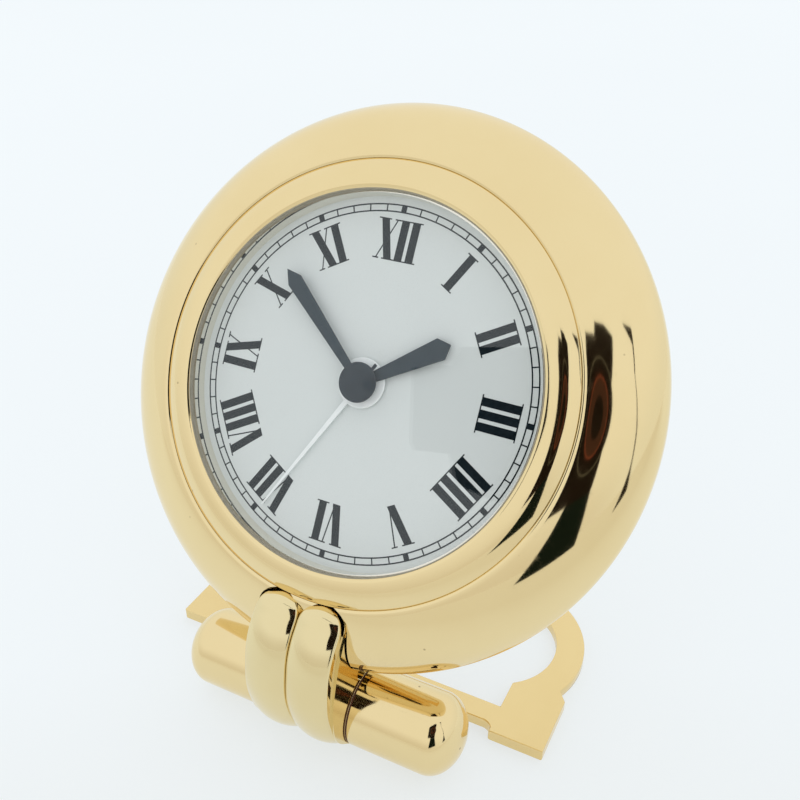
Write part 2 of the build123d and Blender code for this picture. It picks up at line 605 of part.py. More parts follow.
def build_movement():
    keep_in_case("minute_arbor", make_minute_arbor())
    keep_in_case("hour_wheel", make_hour_wheel())
    keep_in_case("alarm_wheel", make_alarm_wheel())
    keep_in_case("motion_wheel", make_motion_wheel())
    centre = gear(CENTRE_TEETH, TRAIN_MODULE, LEVEL_2, (0, 0),
                  gap_at(CENTRE_TEETH, direction((0, 0), THIRD_AT)), bore=0.42 + RUN)
    keep_in_case("centre_wheel", centre + ring(1.1, 0.42 + RUN, 3.5, 5.6))
    keep_in_case("third_wheel", wheel_and_pinion(
        THIRD_AT, THIRD_TEETH, LEVEL_1, gap_at(THIRD_TEETH, direction(THIRD_AT, SECONDS_AT)),
        LEVEL_2, direction(THIRD_AT, (0, 0))))
    keep_in_case("seconds_wheel", wheel_and_pinion(
        SECONDS_AT, SECONDS_TEETH, LEVEL_3, gap_at(SECONDS_TEETH, direction(SECONDS_AT, DRIVE_AT)),
        LEVEL_1, direction(SECONDS_AT, THIRD_AT)))
    keep_in_case("drive_wheel", wheel_and_pinion(
        DRIVE_AT, DRIVE_TEETH, LEVEL_4, gap_at(DRIVE_TEETH, direction(DRIVE_AT, ROTOR_AT)),
        LEVEL_3, direction(DRIVE_AT, SECONDS_AT)))
    keep_in_case("rotor_arbor", make_rotor())
    keep_in_case("rotor_magnet", ring(1.5, 0.35, 3.5, 4.9, ROTOR_AT))
    keep_in_case("stator", make_stator())
    keep_in_case("drive_coil", make_coil())
    keep_in_case("main_plate", make_main_plate())
    keep_in_case("back_plate", make_back_plate())
    keep_in_case("movement_screws", *[
        screw(at, 0.95, PLATE_BACK, PLATE_BACK + 0.5, 0.5, 4.6) for at in PILLARS])
    keep_in_case("movement_holder", make_holder())
    keep_in_case("circuit_board", make_board())
    keep_in_case("quartz_can", Pos(4.5, BOARD_BACK + 1.0, 17.0) * Rot(0, 90, 0) * Cylinder(1.0, 6.0))
    keep_in_case("control_chip", slab(Pos(-5.5, 10.5) * Rectangle(5.0, 5.0), BOARD_BACK, BOARD_BACK + 0.9))
    keep_in_case("buzzer_disc", disc(8.5, BACK_INNER - 0.5, BACK_INNER, (0, 13.0)))
    keep_in_case("battery_tray", make_tray())
    keep_in_case("battery_cell", make_cell())
    keep_in_case("battery_contacts", *make_contacts())


def build_setting():
    toward_motion = direction(TIME_AT, MOTION_AT)
    time_pinion = gear(CANNON_TEETH, MOTION_MODULE, MOTION_LEVEL, TIME_AT, toward_motion)
    keep_in_case("time_stem", make_stem(TIME_AT, time_pinion))
    keep_in_case("time_knob", make_knob(TIME_AT))
    alarm_pinion = gear(ALARM_PINION_TEETH, ALARM_MODULE, ALARM_LEVEL, ALARM_SET_AT,
                        gap_at(ALARM_PINION_TEETH, 0))
    keep_in_case("alarm_stem", make_stem(ALARM_SET_AT, alarm_pinion))
    keep_in_case("alarm_knob", make_knob(ALARM_SET_AT))


def export_parts():
    os.makedirs("parts", exist_ok=True)
    for name, solids in nodes.items():
        pieces = [solid for item in solids for solid in item.solids()]
        shape = pieces[0] if len(pieces) == 1 else Compound(children=pieces)
        export_step(shape, f"parts/{name}.step")


build_stand()
build_case()
build_dial_and_hands()
build_movement()
build_setting()
export_parts()
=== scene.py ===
"""Looks of the travel alarm clock: polished plating, printed dial, glass, stand and studio."""
import json
import math

import bmesh
import bpy
from mathutils import Matrix, Vector


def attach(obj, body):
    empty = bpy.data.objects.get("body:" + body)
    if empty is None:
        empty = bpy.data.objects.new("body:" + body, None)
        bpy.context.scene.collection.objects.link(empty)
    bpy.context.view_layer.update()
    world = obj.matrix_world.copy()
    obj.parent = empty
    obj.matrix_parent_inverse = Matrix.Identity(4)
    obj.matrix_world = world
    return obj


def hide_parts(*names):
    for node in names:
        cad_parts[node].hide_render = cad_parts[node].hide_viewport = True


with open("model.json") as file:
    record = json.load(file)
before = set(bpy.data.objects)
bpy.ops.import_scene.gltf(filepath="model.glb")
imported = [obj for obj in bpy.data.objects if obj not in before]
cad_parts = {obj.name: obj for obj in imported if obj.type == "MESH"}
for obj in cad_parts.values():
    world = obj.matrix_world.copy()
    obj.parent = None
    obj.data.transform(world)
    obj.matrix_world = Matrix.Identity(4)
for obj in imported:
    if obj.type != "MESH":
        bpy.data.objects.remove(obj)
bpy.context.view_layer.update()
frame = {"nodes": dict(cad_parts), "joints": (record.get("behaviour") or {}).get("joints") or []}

# ---------------------------------------------------------------- frames, in metres
MM = 0.001
joints = {joint["name"]: joint for joint in frame["joints"]}
dial_centre = Vector(joints["minute_turn"]["pos_m"])
into_clock = Vector(joints["minute_turn"]["axis"]).normalized()
hinge_centre = Vector(joints["stand_fold"]["pos_m"])
right = Vector((1, 0, 0))
up_dial = right.cross(into_clock)


def frame_matrix(origin, x_axis, y_axis, z_axis):
    """A matrix from millimetres along three axes at an origin to the row frame."""
    turn = Matrix((x_axis, y_axis, z_axis)).transposed().to_4x4()
    return Matrix.Translation(origin) @ turn @ Matrix.Scale(MM, 4)


# In the dial frame +X points to 3, +Z to 12 and +Y into the clock, so depth is Y.
dial_frame = frame_matrix(dial_centre, right, into_clock, up_dial)
hinge_frame = frame_matrix(hinge_centre, right, Vector((0, 1, 0)), Vector((0, 0, 1)))
hinge_in_dial = dial_frame.inverted() @ hinge_centre

# ---------------------------------------------------------------- sizes, in millimetres
SHARP_ANGLE = math.radians(32)
TURNED_STEPS, HINGE_STEPS, SMALL_STEPS = 360, 192, 128
BREAK = 0.01                # the tiny bevel at a turned piece's corners

# Case and bezel. An outside is a chain of arcs: (radius, facing from, facing to, steps), where
# it faces so many degrees off the axis.
GROOVE_R, GROOVE_FLOOR, GROOVE_LIP = 25.76, -1.80, (25.91, -1.90)
CASE_START = (26.1, -1.95)
CASE_OUTSIDE = ((12.0, 9, 33, 10), (8.25, 33, 65, 12), (2.5, 65, 90, 8), (8.6, 90, 157, 24))
BACK_R, BACK_INNER, BACK_DEPTH = 26.9, 11.5, 13.0
BACK_GAP, BACK_EDGE = 0.08, 0.9
CASE_BORE, CASE_SHELF = 24.3, 0.5
BEZEL_R, BEZEL_OPENING, SEAT_R, BEZEL_FOOT, BEZEL_SKIRT = 25.75, 22.48, 22.1, 0.45, -1.7
BEZEL_LIP, LIP_HALF, LIP_INSIDE, LIP_BEVEL = -2.92, 0.03, -2.69, (0.04, -0.05)
BEZEL_START = (23.65, -2.766)
BEZEL_OUTSIDE = ((3.2, 8, 26, 14), (6.35, 26, 38, 10))

# Crystal, gasket and the wall between crystal and dial.
CRYSTAL_R, CRYSTAL_FRONT, CRYSTAL_BACK, CRYSTAL_EDGE = 21.95, -2.75, -2.05, 0.12
GASKET_SINK, GASKET_PLAY = 0.06, 0.005
REHAUT_R = 21.75

# The bail with its two gadroons, and the notch in the case that they sit in.
NOTCH_HALF, NOTCH_TOP, NOTCH_FLOOR, NECK_BACK = 6.0, 25.4, 8.5, 5.38
NOTCH_PLAY, CUSP_HALF, CUSP_DROP = 0.08, 0.35, 0.9
NOTCH_FRONT, NOTCH_END = -6, 20    # the cutter's ends, outside the case
SCREW_X, SCREW_Z, SCREW_BORE_R, SCREW_SEAT, SCREW_BORE_END = 3.0, -28.6, 1.65, 10.6, 16
GADROON_R, ROD_R, NECK_HALF = 2.83, 2.81, 5.84
CROWN_R, EDGE_R = 5.7, 0.45  # a gadroon's section: a wide crown between two tight edges
CAP_FULLNESS = 2.8
ROD_LINE = ((-0.5, -28.5), (-0.88, -31.0), (-0.35, -33.6), (1.56, -37.4),
            (5.16, -40.65), (8.9, -41.75), (11.9, -40.7))
VALLEY = ((-1.1, -28.5), (-0.8, -32.8), (0.98, -38.6), (4.1, -42.5), (8.8, -44.2))
NECK_HOLLOW = ((7.2, -35.3), (5.85, -35.1), (NECK_BACK, -34.2))
NECK_STEP, SEAT_START = (NECK_BACK, -32.4), -31.6

# The barrel hinge.
BATON_R, KNUCKLE_HALF, WASHER_T, WASHER_BORE, WASHER_SINK = 5.1, 5.85, 0.25, 1.3, 0.06
SEAM = 0.01                 # how far each side of the hinge seam closes over its washer
DOME_START, BARREL_TIP = 15.6, 19.4

# Centre cap and alarm hand. Depths in front of the dial are negative.
CAP_DOME = ((0, -1.98), (1.3, -1.87), (2.24, -1.64))
CAP_ROLL = ((2.24, -1.64), (2.33, -1.58), (2.35, -1.5))
CAP_R, CAP_BACK = 2.35, -1.45
ALARM_AT = 208.0            # where the alarm pointer stands, clockwise from 12
ALARM_DISC = ((1.25, -0.5), (2.88, -0.5), (2.95, -0.44), (2.95, -0.3), (1.25, -0.3))
ALARM_POINTER = ((-0.30, 2.8), (-0.1, 19.3), (0.1, 19.3), (0.30, 2.8))
ALARM_SLOT = ((-0.22, -2.8), (0.22, -2.8), (0.22, -1.9), (-0.22, -1.9))
# The dark insert that fills the slot is painted shade: it stands for the dark inside of the slit.
ALARM_SLOT_SHADE = ((-0.2, -2.78), (0.2, -2.78), (0.2, -1.92), (-0.2, -1.92))
SLOT_HEIGHTS, POINTER_HEIGHTS, SLOT_SHADE_HEIGHTS = (0.2, 0.6), (0.3, 0.49), (0.3, 0.47)

# Printing on the dial.
TRACK_INNER, TRACK_OUTER, TRACK_LINE = 20.07, 20.87, 0.16
BLOCK_WIDTH, TICK_WIDTH = 0.66, 0.15
NUMERAL_FOOT, NUMERAL_HEIGHT = 14.45, 4.75
THICK, THIN, SERIF, SERIF_REACH, LETTER_GAP = 0.97, 0.15, 0.15, 0.30, 0.42
V_SPREAD, V_FOOT, X_SPREAD, X_OFFSET, THIN_SHIFT, SIDE_ROOM = 1.25, 0.98, 1.15, 0.30, 0.2, 0.1
INK_RISE = 0.02
LINE_RISE, SERIF_RISE = 0.9 * INK_RISE, 0.8 * INK_RISE  # crossing strokes lie at different heights
NUMERALS = ("XII", "I", "II", "III", "IIII", "V", "VI", "VII", "VIII", "IX", "X", "XI")

# How widely each carried-over CAD node's edges are rounded.
EDGE_WIDTHS = {
    "stand_plate": 0.3, "case_back": 0.1, "battery_hatch": 0.1, "time_knob": 0.06,
    "alarm_knob": 0.06, "alarm_switch": 0.08, "minute_hand": 0.04, "hour_hand": 0.04,
}

# Camera, and the dark studio cards, as outlines in the camera's own plane.
CAMERA_PLACE, CAMERA_AIM = (45.8, -78.2, 99.2), (-0.384, 0.760, -0.524)
FOCAL_LENGTH, SENSOR_WIDTH = 42.07, 36.0
CAMERA_BODY = ((-20, -38), (-20, 22), (-4, 30), (14, 31), (18, 37), (34, 38), (48, 34), (39, 5),
               (35, -42), (3, -40))
CAMERA_GRIP = ((3, -40), (35, -42), (50, -90), (-7, -97))
CAMERA_STRAP = ((74, 46), (100, 48), (97, 16), (125, -23), (137, -54), (166, -93), (126, -100),
                (132, -56), (120, -23), (94, 18), (94, 36))
LENS_CENTRE, LENS_LAYER = (19, -3), 0.4

# The table's glow, dimmer and warmer towards the front as painted shade, and the light tent: where
# each blend starts and ends.
TABLE_SIZE, TABLE_BLEND, TABLE_SLANT = 4.0, (-0.12, 0.0), 0.5   # metres, along Y less X * slant
FOOT_BLEND, TENT_BLEND = (-0.95, -0.3), (0.0, 0.45)             # view directions along Y and Z

# The small screen in front of the crystal, in the dial frame: outline, distance and lean.
DIAL_SCREEN = ((-9.2, 2.5), (-2, -7.5), (-0.8, -8.3), (4.1, -7.6), (7.4, -10.9), (14, -11.5),
               (15, 0), (8, 10.5), (-4.5, 7.5), (-4, 4.3))
SCREEN_DEPTH, SCREEN_LEAN = -38, 1.2


# ---------------------------------------------------------------- mesh helpers
def mark_sharp(mesh):
    """Smooth shading everywhere except across sharp edges."""
    bm = bmesh.new()
    bm.from_mesh(mesh)
    for face in bm.faces:
        face.smooth = True
    for edge in bm.edges:
        edge.smooth = len(edge.link_faces) == 2 and edge.calc_face_angle(0) < SHARP_ANGLE
    bm.to_mesh(mesh)
    bm.free()


def new_piece(name, bm, to_row, material, body="clock"):
    """A finished piece from a bmesh in local millimetres, riding on a body."""
    bmesh.ops.recalc_face_normals(bm, faces=bm.faces)
    mesh = bpy.data.meshes.new(name)
    bm.to_mesh(mesh)
    bm.free()
    mesh.transform(to_row)
    mesh.materials.append(material)
    mark_sharp(mesh)
    piece = bpy.data.objects.new(name, mesh)
    bpy.context.scene.collection.objects.link(piece)
    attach(piece, body)
    return piece


def arc_points(start, radius, tilt_from, tilt_to, steps):
    """Points of a round profile edge that faces tilt_from degrees off the axis at its start."""
    points = []
    for step in range(steps + 1):
        tilt = math.radians(tilt_from + (tilt_to - tilt_from) * step / steps)
        points.append((
            start[0] + radius * (math.sin(tilt) - math.sin(math.radians(tilt_from))),
            start[1] - radius * (math.cos(tilt) - math.cos(math.radians(tilt_from))),
        ))
    return points


def arc_chain(start, arcs):
    """Points of profile arcs that run on from one another."""
    points = [start]
    for arc in arcs:
        points += arc_points(points[-1], *arc)
    return points


def three_point_arc(start, middle, end, steps):
    """Points of the circular arc through three profile points."""
    (ax, ay), (bx, by), (cx, cy) = start, middle, end
    cross = 2 * (ax * (by - cy) + bx * (cy - ay) + cx * (ay - by))
    sq_a, sq_b, sq_c = ax * ax + ay * ay, bx * bx + by * by, cx * cx + cy * cy
    centre_x = (sq_a * (by - cy) + sq_b * (cy - ay) + sq_c * (ay - by)) / cross
    centre_y = (sq_a * (cx - bx) + sq_b * (ax - cx) + sq_c * (bx - ax)) / cross
    first = math.atan2(ay - centre_y, ax - centre_x)
    through = (math.atan2(by - centre_y, bx - centre_x) - first) % math.tau
    last = (math.atan2(cy - centre_y, cx - centre_x) - first) % math.tau
    sweep = last if through < last else last - math.tau
    radius = math.hypot(ax - centre_x, ay - centre_y)
    return [(centre_x + radius * math.cos(first + sweep * k / steps),
             centre_y + radius * math.sin(first + sweep * k / steps)) for k in range(steps + 1)]


def joined(*runs):
    """One list of profile points without doubles where the runs meet."""
    points = []
    for run in runs:
        for point in run:
            if not points or math.dist(points[-1], point) > 1e-4:
                points.append(point)
    return points


def lathe(profile, spin_point, closed=True, steps=TURNED_STEPS):
    """A turned body: spin_point(r, along, angle) places each profile point."""
    bm = bmesh.new()
    rings = []
    for step in range(steps):
        angle = math.tau * step / steps
        rings.append([bm.verts.new(spin_point(r, along, angle)) for r, along in profile])
    count = len(profile) if closed else len(profile) - 1
    for step in range(steps):
        ring, after = rings[step], rings[(step + 1) % steps]
        for k in range(count):
            following = (k + 1) % len(profile)
            bm.faces.new((ring[k], ring[following], after[following], after[k]))
    bmesh.ops.remove_doubles(bm, verts=bm.verts, dist=1e-4)
    bmesh.ops.dissolve_degenerate(bm, edges=bm.edges, dist=1e-5)
    return bm


def about_dial(r, depth, angle):
    """Spins a profile point about the dial's axis."""
    return (r * math.cos(angle), depth, r * math.sin(angle))


def about_hinge(r, along, angle):
    """Spins a profile point about the hinge's axis."""
    return (along, r * math.cos(angle), r * math.sin(angle))


def at_depth(x, z, depth):
    """Places a point of an outline that faces the front."""
    return (x, depth, z)


def circle(centre, radius, steps=48):
    """Points around a circle."""
    return [(centre[0] + radius * math.cos(math.tau * k / steps),
             centre[1] + radius * math.sin(math.tau * k / steps)) for k in range(steps)]


def prism(outline, place, low, high):
    """A closed prism: place(u, v, level) puts each outline point at the two levels."""
    bm = bmesh.new()
    bottom = [bm.verts.new(place(u, v, low)) for u, v in outline]
    top = [bm.verts.new(place(u, v, high)) for u, v in outline]
    bm.faces.new(bottom)
    bm.faces.new(top)
    for k in range(len(outline)):
        following = (k + 1) % len(outline)
        bm.faces.new((bottom[k], bottom[following], top[following], top[k]))
    bmesh.ops.recalc_face_normals(bm, faces=bm.faces)
    return bm


def merge(*parts):
    """Several bmeshes as one."""
    whole = bmesh.new()
    for part in parts:
        mesh = bpy.data.meshes.new("part")
        part.to_mesh(mesh)
        part.free()
        whole.from_mesh(mesh)
        bpy.data.meshes.remove(mesh)
    return whole


def subtract(body, *cutters):
    """The body with the cutters taken away."""
    objects = []
    for bm in (body, *cutters):
        bmesh.ops.recalc_face_normals(bm, faces=bm.faces)
        mesh = bpy.data.meshes.new("cut")
        bm.to_mesh(mesh)
        bm.free()
        obj = bpy.data.objects.new("cut", mesh)
        bpy.context.scene.collection.objects.link(obj)
        objects.append(obj)
    target = objects[0]
    for cutter in objects[1:]:
        step = target.modifiers.new("cut", "BOOLEAN")
        step.operation, step.solver, step.object = "DIFFERENCE", "EXACT", cutter
    graph = bpy.context.evaluated_depsgraph_get()
    result = bmesh.new()
    result.from_mesh(target.evaluated_get(graph).to_mesh())
    for obj in objects:
        mesh = obj.data
        bpy.data.objects.remove(obj)
        bpy.data.meshes.remove(mesh)
    return result


# ---------------------------------------------------------------- material helpers
class Nodes:
    """A short way to write node trees."""

    def __init__(self, name):
        self.material = bpy.data.materials.new(name)
        self.material.use_nodes = True
        self.tree = self.material.node_tree
        self.tree.nodes.clear()
        self.shader = self.add("ShaderNodeBsdfPrincipled")
        out = self.add("ShaderNodeOutputMaterial")
        self.link(self.shader.outputs[0], out.inputs["Surface"])
        self.object_place = self.add("ShaderNodeTexCoord").outputs["Object"]

    def add(self, kind, **settings):
        node = self.tree.nodes.new(kind)
        for key, value in settings.items():
            setattr(node, key, value)
        return node

    def link(self, source, target):
        self.tree.links.new(source, target)

    def set(self, **values):
        """Set uniform shader values, such as Roughness."""
        for key, value in values.items():
            self.shader.inputs[key.replace("_", " ")].default_value = value

    def stretched(self, scale):
        """Object coordinates, stretched along the row axes."""
        mapping = self.add("ShaderNodeMapping")
        mapping.inputs["Scale"].default_value = scale
        self.link(self.object_place, mapping.inputs["Vector"])
        return mapping.outputs[0]

    def noise(self, scale, detail=3.0, rough=0.5, place=None):
        node = self.add("ShaderNodeTexNoise")
        node.inputs["Scale"].default_value = scale
        node.inputs["Detail"].default_value = detail
        node.inputs["Roughness"].default_value = rough
        self.link(place or self.object_place, node.inputs["Vector"])
        return node.outputs["Fac"]

    def specks(self, scale, size):
        """1 on sparse small round specks, 0 elsewhere."""
        cells = self.add("ShaderNodeTexVoronoi")
        cells.inputs["Scale"].default_value = scale
        self.link(self.object_place, cells.inputs["Vector"])
        near = self.ramp(cells.outputs["Distance"], ((0.0, 1.0), (size, 0.0)))
        rare = self.ramp(self.noise(scale * 0.37, 1.0), ((0.60, 0.0), (0.64, 1.0)))
        return self.math("MULTIPLY", near, rare)

    def ramp(self, fac, stops):
        """A ramp of grey values or colours."""
        node = self.add("ShaderNodeValToRGB")
        while len(node.color_ramp.elements) < len(stops):
            node.color_ramp.elements.new(0.5)
        for element, (position, value) in zip(node.color_ramp.elements, stops):
            element.position = position
            colour = value if isinstance(value, tuple) else (value, value, value)
            element.color = (*colour, 1.0)
        self.link(fac, node.inputs["Fac"])
        return node.outputs["Color"]

    def math(self, operation, a, b):
        node = self.add("ShaderNodeMath", operation=operation)
        for socket, value in zip(node.inputs, (a, b)):
            if isinstance(value, (int, float)):
                socket.default_value = value
            else:
                self.link(value, socket)
        return node.outputs[0]

    def mix(self, fac, a, b):
        """Colour a where fac is 0 and colour b where it is 1."""
        node = self.add("ShaderNodeMix", data_type="RGBA")
        self.link(fac, node.inputs["Factor"])
        for name, value in (("A", a), ("B", b)):
            socket = [s for s in node.inputs if s.name == name and s.type == "RGBA"][0]
            if isinstance(value, tuple):
                socket.default_value = (*value, 1.0)
            else:
                self.link(value, socket)
        return [s for s in node.outputs if s.type == "RGBA"][0]

    def colour(self, source):
        self.link(source, self.shader.inputs["Base Color"])

    def roughness(self, source):
        self.link(source, self.shader.inputs["Roughness"])

    def bump(self, height, strength, distance):
        node = self.add("ShaderNodeBump")
        node.inputs["Strength"].default_value = strength
        node.inputs["Distance"].default_value = distance
        self.link(height, node.inputs["Height"])
        self.link(node.outputs[0], self.shader.inputs["Normal"])


def plating(name, light, deep, gloss):
    """Polished gold plating: hazy wipe marks, hairline scratches and a few pits."""
    m = Nodes(name)
    m.set(Metallic=1.0)
    haze = m.noise(55, 4.0, 0.6)
    pits = m.specks(420, 0.09)
    tone = m.mix(m.ramp(haze, ((0.35, 0.0), (0.65, 1.0))), light, deep)
    m.colour(m.mix(pits, tone, (0.16, 0.10, 0.04)))
    hairlines = m.noise(900, 2.0, 0.6, m.stretched((1.0, 0.05, 1.0)))
    base = m.ramp(m.noise(130, 3.0, 0.6), ((0.3, gloss), (0.7, gloss * 1.7)))
    streaks = m.ramp(hairlines, ((0.60, 0.0), (0.72, 0.05)))
    m.roughness(m.math("ADD", base, streaks))
    m.bump(m.math("SUBTRACT", m.noise(260, 2.0), m.math("MULTIPLY", pits, 3.0)), 0.02, 0.00005)
    return m.material


def satin_dial():
    """Silvery bluish white lacquer with a very fine grain."""
    m = Nodes("dial_lacquer")
    grain = m.noise(5200, 2.0, 0.7)
    cloud = m.noise(70, 3.0)
    shade = m.mix(m.ramp(cloud, ((0.3, 0.0), (0.7, 1.0))), (0.69, 0.735, 0.725), (0.71, 0.75, 0.74))
    m.colour(m.mix(m.ramp(grain, ((0.45, 0.0), (0.60, 0.25))), shade, (0.65, 0.695, 0.69)))
    m.roughness(m.ramp(grain, ((0.3, 0.32), (0.7, 0.46))))
    m.bump(grain, 0.12, 0.00001)
    return m.material


def ink():
    """Blue-black printing ink."""
    m = Nodes("dial_ink")
    film = m.noise(2600, 2.0)
    m.set(Specular_IOR_Level=0.1)
    m.colour(m.ramp(film, ((0.35, (0.004, 0.010, 0.014)), (0.65, (0.008, 0.015, 0.020)))))
    m.roughness(m.ramp(film, ((0.3, 0.34), (0.7, 0.46))))
    m.bump(film, 0.10, 0.000004)
    return m.material


def lacquer(name, low, high, rough=0.3, bumpy=0.05, sheen=0.5):
    """A thin painted coat with slight unevenness."""
    m = Nodes(name)
    m.set(Specular_IOR_Level=sheen)
    film = m.noise(900, 3.0)
    m.colour(m.ramp(film, ((0.35, low), (0.65, high))))
    m.roughness(m.ramp(m.noise(300), ((0.3, rough), (0.7, rough * 1.4))))
    m.bump(film, bumpy, 0.00001)
    return m.material


def brushed(name, low, high, rough=0.28, along=(1.0, 0.04, 1.0)):
    """Metal with a fine straight grain."""
    m = Nodes(name)
    m.set(Metallic=1.0)
    grain = m.noise(1500, 3.0, 0.7, m.stretched(along))
    m.colour(m.ramp(grain, ((0.35, low), (0.65, high))))
    m.roughness(m.ramp(grain, ((0.3, rough * 0.8), (0.7, rough * 1.3))))
    m.bump(grain, 0.10, 0.00001)
    return m.material


def moulded(name, low, high, rough=0.5, sheen=0.5):
    """Moulded plastic, rubber or cloth with a fine texture."""
    m = Nodes(name)
    m.set(Specular_IOR_Level=sheen)
    grain = m.noise(2200, 3.0, 0.6)
    m.colour(m.ramp(grain, ((0.35, low), (0.65, high))))
    m.roughness(m.ramp(grain, ((0.3, rough * 0.9), (0.7, rough * 1.15))))
    m.bump(grain, 0.25, 0.00002)
    return m.material


def mineral_glass():
    """A thin clear crystal: a faint mirror, with a trace of wipe marks in its gloss."""
    m = Nodes("crystal_glass")
    m.set(Metallic=1.0, Alpha=0.034)
    m.colour(m.ramp(m.noise(60), ((0.3, (0.95, 0.97, 0.97)), (0.7, (0.97, 0.99, 0.98)))))
    m.roughness(m.ramp(m.noise(220), ((0.50, 0.0), (0.75, 0.03))))
    return m.material


# ---------------------------------------------------------------- metal pieces
def notch_cutter():
    """The two-lobed slot that the gadroons sit in, open towards the hinge and the front."""
    radius = NOTCH_HALF / 2 + NOTCH_PLAY
    low = -NOTCH_TOP - radius
    lobe = three_point_arc((NOTCH_HALF, low), (NOTCH_HALF - radius, low + radius),
                           (CUSP_HALF, low + CUSP_DROP), 20)
    right_side = [(NOTCH_HALF, low - NOTCH_END)] + lobe
    left_side = [(-x, z) for x, z in reversed(right_side)]
    return prism(right_side + left_side, at_depth, NOTCH_FRONT, NOTCH_FLOOR)


def make_case(gold):
    """The swelling case ring with its notch and screw bores."""
    profile = joined(
        three_point_arc((GROOVE_R, GROOVE_FLOOR), GROOVE_LIP, CASE_START, 8),
        arc_chain(CASE_START, CASE_OUTSIDE),
        [(BACK_R + BACK_EDGE, BACK_DEPTH), (BACK_R + BACK_GAP, BACK_DEPTH),
         (BACK_R + BACK_GAP, BACK_INNER), (CASE_BORE, BACK_INNER), (CASE_BORE, CASE_SHELF),
         (GROOVE_R, CASE_SHELF)],
    )
    body = lathe(profile, about_dial)
    cutters = [notch_cutter()]
    for side in (-1, 1):
        bore = circle((side * SCREW_X, SCREW_Z), SCREW_BORE_R)
        cutters.append(prism(bore, at_depth, SCREW_SEAT, SCREW_BORE_END))
    piece = new_piece("case_body", subtract(body, *cutters), dial_frame, gold)
    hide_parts("case_ring")


def make_bezel(gold):
    """The ring around the crystal."""
    profile = joined(
        [(BEZEL_OPENING - LIP_HALF, BEZEL_LIP + BREAK), (BEZEL_OPENING + LIP_HALF, BEZEL_LIP)],
        arc_chain(BEZEL_START, BEZEL_OUTSIDE),
        [(BEZEL_R, BEZEL_SKIRT), (BEZEL_R, BEZEL_FOOT), (SEAT_R, BEZEL_FOOT), (SEAT_R, LIP_INSIDE),
         (SEAT_R + LIP_BEVEL[0], LIP_INSIDE + LIP_BEVEL[1])],
    )
    piece = new_piece("bezel_body", lathe(profile, about_dial), dial_frame, gold)
    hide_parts("bezel_ring")


def make_window(glass, rubber, polished):
    """The crystal, its gasket and the polished wall between crystal and dial."""
    crystal = [(0, CRYSTAL_FRONT), (CRYSTAL_R - CRYSTAL_EDGE, CRYSTAL_FRONT),
               (CRYSTAL_R, CRYSTAL_FRONT + CRYSTAL_EDGE), (CRYSTAL_R, CRYSTAL_BACK),
               (0, CRYSTAL_BACK)]
    inner, outer, front = CRYSTAL_R + GASKET_PLAY, SEAT_R - GASKET_PLAY, CRYSTAL_FRONT + GASKET_SINK
    gasket = [(inner, front), (outer, front), (outer, CRYSTAL_BACK), (inner, CRYSTAL_BACK)]
    wall = [(REHAUT_R, CRYSTAL_BACK + BREAK), (SEAT_R - BREAK, CRYSTAL_BACK + BREAK),
            (SEAT_R - BREAK, 0), (REHAUT_R, 0)]
    for name, profile, closed, material, node, slot in (
            ("crystal_body", crystal, False, glass, "crystal", "crystal"),
            ("gasket_body", gasket, True, rubber, "crystal_gasket", "gasket"),
            ("rehaut_body", wall, True, polished, "rehaut_ring", "rehaut")):
        piece = new_piece(name, lathe(profile, about_dial, closed), dial_frame, material)
        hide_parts(node)


def smooth_line(points, steps=10):
    """A smooth curve through points, as points with unit tangents."""
    knots = [Vector(point) for point in points]
    knots = [2 * knots[0] - knots[1]] + knots + [2 * knots[-1] - knots[-2]]
    result = []
    for k in range(1, len(knots) - 2):
        p0, p1, p2, p3 = knots[k - 1:k + 3]
        last = k == len(knots) - 3
        for step in range(steps + (1 if last else 0)):
            t = step / steps
            place = 0.5 * (2 * p1 + (p2 - p0) * t + (2 * p0 - 5 * p1 + 4 * p2 - p3) * t ** 2
                           + (3 * p1 - p0 - 3 * p2 + p3) * t ** 3)
            slope = 0.5 * ((p2 - p0) + 2 * (2 * p0 - 5 * p1 + 4 * p2 - p3) * t
                           + 3 * (3 * p1 - p0 - 3 * p2 + p3) * t ** 2)
            result.append((place, slope.normalized()))
    return result


def gadroon_section(angle):
    """A point of a gadroon's section facing an angle, in rod radii: wide in front, deep behind."""
    reach = ROD_R - EDGE_R
    drop = math.sqrt((CROWN_R - EDGE_R) ** 2 - reach ** 2)
    crest = CROWN_R - drop
    across, out = math.cos(angle), math.sin(angle)
    if out <= 0:
        return across, 1 - crest / ROD_R + (2 - crest / ROD_R) * out
    if abs(across) < reach / (CROWN_R - EDGE_R):
        return CROWN_R * across / ROD_R, 1 + CROWN_R * (out - 1) / ROD_R
    side = math.copysign(reach, across)
    return (side + EDGE_R * across) / ROD_R, 1 - (crest - EDGE_R * out) / ROD_R


def rod(side, around=144, cap=16):
    """One gadroon: a rod along its centre line, broad in front, with a domed top."""
    line = smooth_line(ROD_LINE)
    sections = []
    start, tangent = line[0]
    for step in range(cap):
        lift = math.pi / 2 * (1 - step / cap)
        full = (1 - math.sin(lift) ** CAP_FULLNESS) ** (1 / CAP_FULLNESS)
        sections.append((start - tangent * ROD_R * math.sin(lift), tangent,
                         ROD_R * math.cos(lift), ROD_R * full))
    sections += [(place, slope, ROD_R, ROD_R) for place, slope in line]
    bm = bmesh.new()
    rings = []
    for place, slope, width, height in sections:
        normal = Vector((-slope.y, slope.x))
        ring = []
        for k in range(around):
            across, out = gadroon_section(math.tau * k / around)
            flat = place - normal * height * out
            ring.append(bm.verts.new((side * GADROON_R + width * across, flat.x, flat.y)))
        rings.append(ring)
    for ring, after in zip(rings, rings[1:]):
        for k in range(around):
            following = (k + 1) % around
            bm.faces.new((ring[k], ring[following], after[following], after[k]))
    bm.faces.new(rings[-1])
    bmesh.ops.remove_doubles(bm, verts=bm.verts, dist=1e-4)
    return bm


